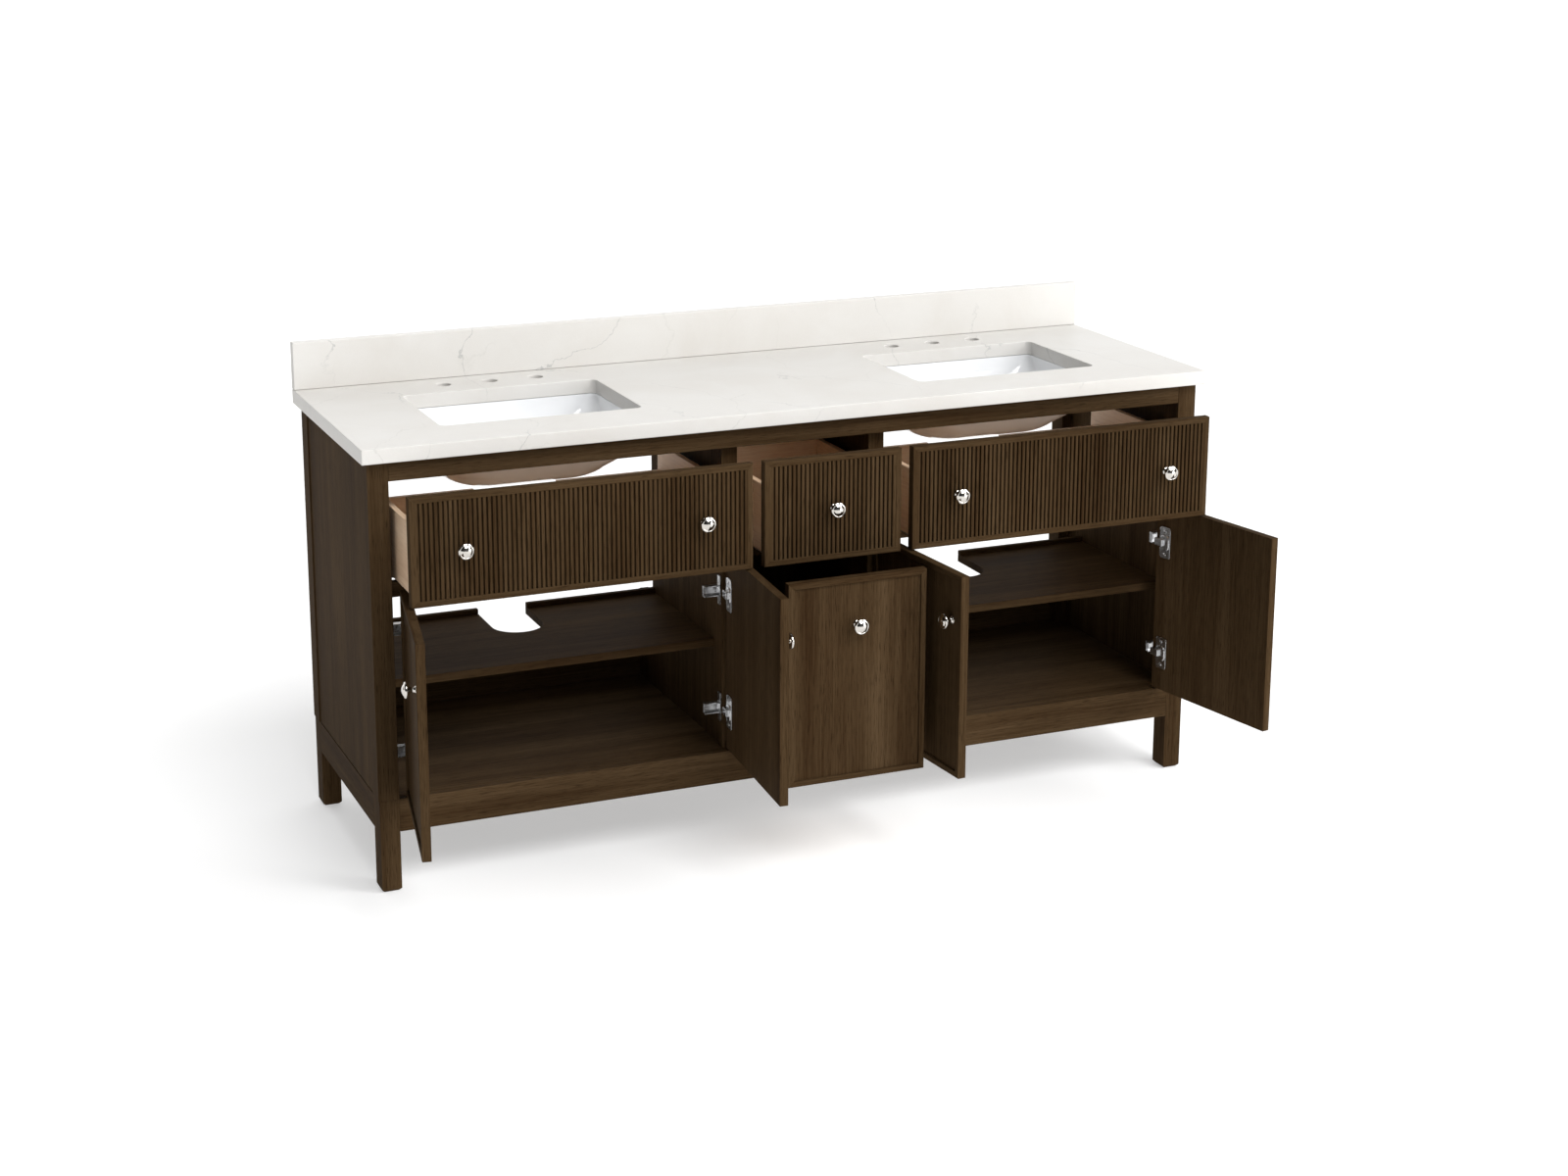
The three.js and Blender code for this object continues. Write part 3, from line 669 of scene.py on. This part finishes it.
def build_bowls():
    """Bowls as one closed skin: up the outside, round the rim, down the inside and the drain."""
    ease = RIM["ease"]
    for side, sign in SIDES.items():
        low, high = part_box(f"sink_{side}")
        centre = (sign * CUT_OUT["x"], CUT_OUT["y"])
        top = high.z
        bottom, floor = top - OUTSIDE["depth"], top - INSIDE["depth"]
        rim_low = top - RIM["thickness"]
        rings = [drain_ring(centre, DRAIN_RADIUS, floor - ease)]
        rings.append(drain_ring(centre, DRAIN_RADIUS, bottom + ease))
        rings.append(drain_ring(centre, DRAIN_RADIUS + ease, bottom))
        rings += wall_rings(centre, OUTSIDE, bottom)[::-1]
        rings += rounding_rings(centre, OUTSIDE, rim_low, COVE)
        rings += eased_rim(centre, (high.x - low.x) / 2, (high.y - low.y) / 2, rim_low, top)
        rings += rounding_rings(centre, INSIDE, top, INNER_EDGE)
        rings += wall_rings(centre, INSIDE, floor + ease)
        for out, up in DRAIN_EDGE:
            rings.append(drain_ring(centre, DRAIN_RADIUS + out * ease, floor + up * ease))
        bowl = sweep_rings(rings, close_ends=False)
        piece(f"wash_bowl_{side}", bowl, CERAMIC, "cabinet", [f"sink_{side}"])


# ---- Fronts -----------------------------------------------------------------------------------

def strip_section(width, depth, outer_round, inner_round):
    """The cross-section of a border strip as pairs of distance inwards and depth."""
    outer = arc((outer_round, outer_round), outer_round, 180, 270, ROUND_STEPS)
    inner = arc((width - inner_round, inner_round), inner_round, -90, 0, ROUND_STEPS)
    return [*outer, *inner, Vector((width, depth)), Vector((0, depth))]


def border(prefix, u, v, face, profile, body, matrix=None):
    """Four mitred strips round a front."""
    corners = rectangle(u, v)
    normals = [Vector((0, 1)), Vector((-1, 0)), Vector((0, -1)), Vector((1, 0))]
    names = ("bottom", "right", "top", "left")
    for i, name in enumerate(names):
        start, end = corners[i], corners[(i + 1) % 4]
        along_strip = (end - start).normalized() * MITRE_GAP
        before, here, after = normals[i - 1], normals[i], normals[(i + 1) % 4]
        rings = []
        for corner, other, step in ((start, before, along_strip), (end, after, -along_strip)):
            points = [corner + step + (here + other) * across for across, _ in profile]
            rings.append([Vector((p.x, face + d, p.y)) for p, (_, d) in zip(points, profile)])
        grain = STAINED["X"] if name in ("bottom", "top") else STAINED["Z"]
        piece(f"{prefix}_border_{name}", sweep_rings(rings), grain, body, (), matrix)


def flute_outline(u, face, back):
    """The plan of a fluted panel: ribs with round shoulders and grooves between them."""
    grooves = math.floor((u[1] - u[0]) / FLUTE_PITCH)
    first = (u[0] + u[1] - (grooves - 1) * FLUTE_PITCH) / 2
    top, bottom = face + RIB_DROP, face + GROOVE_DEPTH
    points = [Vector((u[0], top))]
    for i in range(grooves):
        middle = first + i * FLUTE_PITCH
        left, right = middle - GROOVE_WIDTH / 2, middle + GROOVE_WIDTH / 2
        points += arc((left - RIB_ROUND, top + RIB_ROUND), RIB_ROUND, -90, 0, ROUND_STEPS)
        points += [Vector((left + GROOVE_TAPER, bottom)), Vector((right - GROOVE_TAPER, bottom))]
        points += arc((right + RIB_ROUND, top + RIB_ROUND), RIB_ROUND, 180, 270, ROUND_STEPS)
    points += [Vector((u[1], top)), Vector((u[1], back)), Vector((u[0], back))]
    return points


def build_fluted_front(name, body):
    """A panel of upright ribs inside a flat border."""
    low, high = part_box(name)
    u, v = span_of(low, high, 0), span_of(low, high, 2)
    thickness = high.y - low.y
    inner_u = (u[0] + BORDER, u[1] - BORDER)
    height = v[1] - v[0] - 2 * BORDER
    outline = flute_outline(inner_u, low.y, high.y)
    panel = slab(outline, height, 0, plan(v[0] + BORDER))
    piece(f"{name}_flutes", panel, STAINED["Z"], body, [name])
    border(name, u, v, low.y, strip_section(BORDER, thickness, *FLUTED_BORDER_ROUNDS), body)


def build_panelled_front(name, low, high, body, node, matrix=None):
    """A flat field inside a raised bead."""
    u, v = span_of(low, high, 0), span_of(low, high, 2)
    recess = PANEL_RECESS - FIELD_EASE
    board = slab(rectangle(u, v), high.y - low.y - recess, FIELD_EASE, elevation(low.y + recess))
    piece(f"{name}_field", board, STAINED["Z"], body, [node], matrix)
    profile = strip_section(BORDER, PANEL_RECESS, *PANELLED_BORDER_ROUNDS)
    border(name, u, v, low.y, profile, body, matrix)


# ---- Knobs ------------------------------------------------------------------------------------

def knob_profile():
    """Round foot, narrow neck and a domed face with a shallow ring."""
    neck = [(8.6, 0.9), (8.2, 2.0), (6.2, 3.6), (5.0, 6.5), (4.9, 10.5), (6.6, 14.0)]
    head = [(11.5, 16.6), (15.2, 18.6), (16.0, 21.0), (15.3, 23.2), (13.6, 24.4)]
    stem = smooth_profile([*neck, *head])
    face = smooth_profile([(13.0, 24.5), (12.4, 24.2), (11.6, 24.6), (9.0, 26.6), (5.0, 28.4), (1.5, 29.1)])
    profile = [(8.3, 0.0), (8.6, 0.3), *stem, *face, (0.2, 29.2)]
    return [(radius * MM, height * MM) for radius, height in profile]


def build_knob(node, low, high, body, matrix=None):
    """A knob whose foot is on the front's face, at the back of its node's box."""
    centre = (low + high) / 2
    turned = lathe(knob_profile(), (centre.x, high.y, centre.z), (0, -1, 0))
    if matrix:
        turned.transform(matrix)
    piece(f"{node}_turned", turned, NICKEL, body, [node])


# ---- Drawers ----------------------------------------------------------------------------------

def rear_wall_outline(u, v, notch_centre):
    """A low rear wall with a notch that passes the waste pipe."""
    left, right = notch_centre - REAR["notch_half"], notch_centre + REAR["notch_half"]
    bottom, radius = REAR["notch_bottom"], REAR["corner"]
    points = [Vector((u[0], v[0])), Vector((u[1], v[0])), Vector((u[1], v[1])), Vector((right, v[1]))]
    points += arc((right - radius, bottom + radius), radius, 0, -90, CORNER_STEPS)
    points += arc((left + radius, bottom + radius), radius, -90, -180, CORNER_STEPS)
    return points + [Vector((left, v[1])), Vector((u[0], v[1]))]


def build_drawer_box(name, notch_centre=None):
    """Two sides, front, rear and floor as separate boards."""
    body = f"drawer_{name}"
    node = f"drawer_box_{name}"
    low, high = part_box(node)
    y, z = span_of(low, high, 1), span_of(low, high, 2)
    inner = (low.x + WALL, high.x - WALL)
    sides = {"left": low.x, "right": high.x - WALL}
    for side, x in sides.items():
        wall = slab(rectangle(y, z), WALL, BOX_EASE, section(x))
        piece(f"{node}_side_{side}", wall, LIGHT["Y"], body, [node])
    front = slab(rectangle(inner, z), WALL, BOX_EASE, elevation(low.y))
    piece(f"{node}_front", front, LIGHT["X"], body)
    if notch_centre is None:
        outline = rectangle(inner, z)
    else:
        outline = rear_wall_outline(inner, (low.z, REAR["top"]), notch_centre)
    rear = slab(outline, WALL, BOX_EASE, elevation(high.y - WALL))
    piece(f"{node}_rear", rear, LIGHT["X"], body)
    outline = rectangle(inner, (low.y + WALL, high.y - WALL))
    floor = slab(outline, FLOOR - 2 * FLOOR_GAP, FLOOR_EASE, plan(low.z + FLOOR_GAP))
    piece(f"{node}_floor", floor, LIGHT["X"], body)


def build_runners(name):
    """Two rails under a drawer box: one member stays in the cabinet, the other moves with the box."""
    members, back, reach = RUNNERS[name]
    low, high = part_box(f"drawer_box_{name}")
    near, far = RUNNER["inset"], RUNNER["inset"] + RUNNER["width"]
    y = {"fixed": (RUNNER["front"], back), "moving": (low.y + near, high.y - near)}
    bodies = {"fixed": "cabinet", "moving": f"drawer_{name}"}
    for side, outer, inwards in (("left", low.x, 1), ("right", high.x, -1)):
        starts = {"fixed": -reach[side] if reach[side] else near, "moving": near}
        for member, (bottom, top) in members.items():
            x = sorted_span(outer + inwards * starts[member], outer + inwards * far)
            rail = slab(rectangle(x, y[member]), top - bottom, RUNNER["ease"], plan(bottom))
            piece(f"runner_{name}_{side}_{member}", rail, ZINC, bodies[member])


def build_drawers():
    """Runners, fronts, boxes and knobs. The wide drawers have two knobs, the others one."""
    for name in RUNNERS:
        build_runners(name)
    for side, sign in SIDES.items():
        build_fluted_front(f"drawer_front_{side}", f"drawer_{side}")
        build_drawer_box(side, sign * CUT_OUT["x"])
        for letter in "ab":
            node = f"knob_drawer_{side}_{letter}"
            build_knob(node, *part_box(node), f"drawer_{side}")
    build_fluted_front("drawer_front_centre", "drawer_centre")
    build_drawer_box("centre")
    build_knob("knob_drawer_centre", *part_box("knob_drawer_centre"), "drawer_centre")
    build_panelled_front("deep_front", *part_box("drawer_front_deep"), "drawer_deep", "drawer_front_deep")
    build_drawer_box("deep")
    build_knob("knob_drawer_deep", *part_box("knob_drawer_deep"), "drawer_deep")


# ---- Shelves ----------------------------------------------------------------------------------

def build_shelves():
    """Shelves with a round-ended notch for the pipes and a low lip on each side of it."""
    for side, sign in SIDES.items():
        low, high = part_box(f"shelf_{side}")
        x, y = sign * CUT_OUT["x"], high.y
        radius = SHELF["radius"]
        round_y = y - SHELF["depth"] + radius
        outline = [Vector((low.x, low.y)), Vector((high.x, low.y))]
        outline += [Vector((high.x, y)), Vector((x + radius, y))]
        outline += arc((x, round_y), radius, 0, -180, NOTCH_STEPS)
        outline += [Vector((x - radius, y)), Vector((low.x, y))]
        board = slab(outline, SHELF["thickness"], WOOD_EASE, plan(low.z))
        piece(f"shelf_board_{side}", board, STAINED["X"], "cabinet", [f"shelf_{side}"])
        rise = high.z - SHELF["top"]
        for end, lip_x in (("a", (low.x, x - radius)), ("b", (x + radius, high.x))):
            lip = slab(rectangle(lip_x, (y - SHELF["lip"], y)), rise, WOOD_EASE, plan(SHELF["top"]))
            piece(f"shelf_lip_{side}_{end}", lip, STAINED["X"], "cabinet")
        build_shelf_pins(side, low, high)


def build_shelf_pins(side, low, high):
    """Four pins under the corners of a shelf."""
    radius, length = PIN["radius"], PIN["length"]
    profile = [(radius - PIN_ROUND, 0), (radius, PIN_ROUND)]
    profile += [(radius, length - PIN_TIP_ROUND), (radius - PIN_TIP_ROUND, length)]
    height = low.z - radius - PIN["gap"]
    pins = []
    for x, inwards in ((low.x, 1), (high.x, -1)):
        for y in (low.y + PIN["from_edge"], high.y - PIN["from_edge"]):
            pins.append(lathe(profile, (x, y, height), (inwards, 0, 0), PIN_STEPS))
    piece(f"shelf_pins_{side}", join(*pins), NICKEL, "cabinet")


# ---- Doors and hinges -------------------------------------------------------------------------

def door_swings():
    """For each door, the matrix that carries it from shut to where it rests, and its pivot."""
    swings = {}
    for joint in frame["joints"]:
        if joint["type"] == "hinge":
            pivot = Vector(joint["pos_m"])
            opening = math.radians(-joint["range_deg"][0])
            turn = Matrix.Rotation(opening, 4, Vector(joint["axis"]))
            swings[joint["child"]] = Matrix.Translation(pivot) @ turn @ Matrix.Translation(-pivot), pivot
    return swings


def shut_box(node, swing):
    """The box of a door's node with the door shut."""
    back = swing.inverted()
    points = [back @ vertex.co for vertex in frame["nodes"][node].data.vertices]
    low = Vector([min(point[axis] for point in points) for axis in range(3)])
    high = Vector([max(point[axis] for point in points) for axis in range(3)])
    return low, high


def screw(x, y, z):
    """A countersunk screw head that faces into the cabinet."""
    outline = [(3.6, 0.0), (3.6, 0.5), (3.2, 0.9), (1.7, 1.1), (1.3, 0.4), (0.2, 0.35)]
    profile = [(radius * MM, height * MM) for radius, height in outline]
    return lathe(profile, (x, y, z), (0, 1, 0), SCREW_STEPS)


def build_cup(middle, plate_u, height, face):
    """The plate on the door with the raised cup and its two screws."""
    half = CUP_PLATE["height"] / 2
    outline = rounded(plate_u, (height - half, height + half), CUP_PLATE["corner"], CORNER_STEPS)
    plate = slab(outline, CUP_PLATE["thickness"], CUP_PLATE["ease"], elevation(face))
    cup_u = (middle - CUP["half_width"], middle + CUP["half_width"])
    cup_v = (height - CUP["half_height"], height + CUP["half_height"])
    outline = rounded(cup_u, cup_v, CUP["corner"])
    cup = slab(outline, CUP["thickness"], CUP["ease"], elevation(face + CUP["start"]))
    screws = []
    for offset in (-SCREW_OFFSET, SCREW_OFFSET):
        screws.append(screw(middle, face + CUP_PLATE["thickness"], height + offset))
    return join(plate, cup, *screws)


def build_link(link_u, height, face):
    """The link that reaches from the cup to the frame's half of the hinge."""
    link_v = (height - LINK["half_height"], height + LINK["half_height"])
    outline = rounded(link_u, link_v, LINK["corner"])
    return slab(outline, LINK["end"] - LINK["start"], LINK["ease"], elevation(face + LINK["start"]))


def build_door_hinge(number, level, edge, towards, face, swing):
    """The door's half of one concealed hinge, on the door's inner face."""
    height = HINGE_HEIGHTS[level]
    plate_u = sorted_span(edge + towards * CUP_PLATE["near"], edge + towards * CUP_PLATE["far"])
    near, far = LINK_SPANS["outer" if number in OUTER_DOORS else "inner"]
    link_u = sorted_span(edge + towards * near, edge + towards * far)
    cup = build_cup(sum(plate_u) / 2, plate_u, height, face)
    link = build_link(link_u, height, face)
    for part, bm in (("cup", cup), ("link", link)):
        bm.transform(swing)
        piece(f"door_{number}_hinge_{level}_{part}", bm, ZINC, f"door_{number}")


def build_doors():
    """Panelled doors with a knob and two hinges each."""
    swings = door_swings()
    for number in DOORS:
        body = f"door_{number}"
        swing, pivot = swings[body]
        low, high = shut_box(f"{body}_panel", swing)
        build_panelled_front(body, low, high, body, f"{body}_panel", swing)
        knob_node = f"knob_door_{number}"
        build_knob(knob_node, *shut_box(knob_node, swing), body, swing)
        towards = 1 if (low.x + high.x) / 2 > pivot.x else -1
        edge = low.x if towards > 0 else high.x
        for level in HINGE_HEIGHTS:
            build_door_hinge(number, level, edge, towards, high.y, swing)


# ---- Studio -----------------------------------------------------------------------------------

def build_floor():
    """A wide pale floor that glows a little, so that it fades into the white background."""
    bm = bmesh.new()
    bmesh.ops.create_grid(bm, x_segments=1, y_segments=1, size=GROUND_SIZE)
    mesh = bpy.data.meshes.new("floor")
    bm.to_mesh(mesh)
    bm.free()
    floor = bpy.data.objects.new("floor", mesh)
    floor.location.z = -GROUND_DROP
    bpy.context.scene.collection.objects.link(floor)
    glow = {"Emission_Color": (1, 1, 1, 1), "Emission_Strength": GROUND_GLOW}
    material, tree, shader = new_material("floor", Roughness=0.9, Specular_IOR_Level=0.0, **glow)
    dark, light = GROUND_TONES
    tint = ramp(tree, noise(tree, 0.6), (0.3, (dark,) * 3), (0.7, (light,) * 3))
    tree.links.new(tint, shader.inputs["Base Color"])
    mesh.materials.append(material)


def aim(obj, direction):
    """Turns a light so that it shines along the direction."""
    obj.rotation_euler = Vector(direction).to_track_quat("-Z", "Y").to_euler()


def build_lights():
    """Two soft suns and a softbox on the right."""
    for name, power, softness, direction in SUNS:
        data = bpy.data.lights.new(name, "SUN")
        data.energy = power
        data.angle = math.radians(softness)
        sun = bpy.data.objects.new(name, data)
        aim(sun, direction)
        bpy.context.scene.collection.objects.link(sun)
    data = bpy.data.lights.new("side", "AREA")
    data.size = SOFTBOX["size"]
    data.energy = SOFTBOX["power"]
    softbox = bpy.data.objects.new("side", data)
    softbox.location = SOFTBOX["place"]
    aim(softbox, Vector(SOFTBOX["target"]) - Vector(SOFTBOX["place"]))
    bpy.context.scene.collection.objects.link(softbox)


def build_studio():
    """White to the camera, with light that is stronger from the right, the front and the back."""
    world = bpy.context.scene.world or bpy.data.worlds.new("world")
    bpy.context.scene.world = world
    world.use_nodes = True
    tree = world.node_tree
    direction = tree.nodes.new("ShaderNodeTexCoord")
    parts = tree.nodes.new("ShaderNodeSeparateXYZ")
    tree.links.new(direction.outputs["Generated"], parts.inputs["Vector"])
    side = span(tree, parts.outputs["X"], *STUDIO["side"])
    path = tree.nodes.new("ShaderNodeLightPath")
    front = span(tree, parts.outputs["Y"], *STUDIO["front"])
    mirrored = span(tree, path.outputs["Is Glossy Ray"], 0, 1, 1, MIRRORED)
    front_light = math_node(tree, "MULTIPLY", math_node(tree, "MULTIPLY", side, front), mirrored)
    back_light = span(tree, parts.outputs["Y"], *STUDIO["back"])
    studio = math_node(tree, "ADD", front_light, back_light)
    strength = math_node(tree, "MAXIMUM", studio, path.outputs["Is Camera Ray"])
    background = tree.nodes["Background"]
    background.inputs["Color"].default_value = (1, 1, 1, 1)
    tree.links.new(strength, background.inputs["Strength"])
    bpy.context.scene.view_settings.view_transform = "Standard"


def build_camera():
    """The place, turn and lens that were solved from the photo's straight edges."""
    data = bpy.data.cameras.new("camera")
    data.sensor_width = CAMERA["sensor"]
    data.lens = CAMERA["lens"]
    data.shift_x, data.shift_y = CAMERA["shift"]
    data.clip_end = CAMERA["clip_end"]
    camera = bpy.data.objects.new("camera", data)
    camera.location = CAMERA["place"]
    camera.rotation_euler = CAMERA["turn"]
    bpy.context.scene.collection.objects.link(camera)
    bpy.context.scene.camera = camera


build_camera()
build_lights()
build_studio()
build_floor()
finish_plain_nodes()
build_worktop()
build_bowls()
build_drawers()
build_shelves()
build_doors()
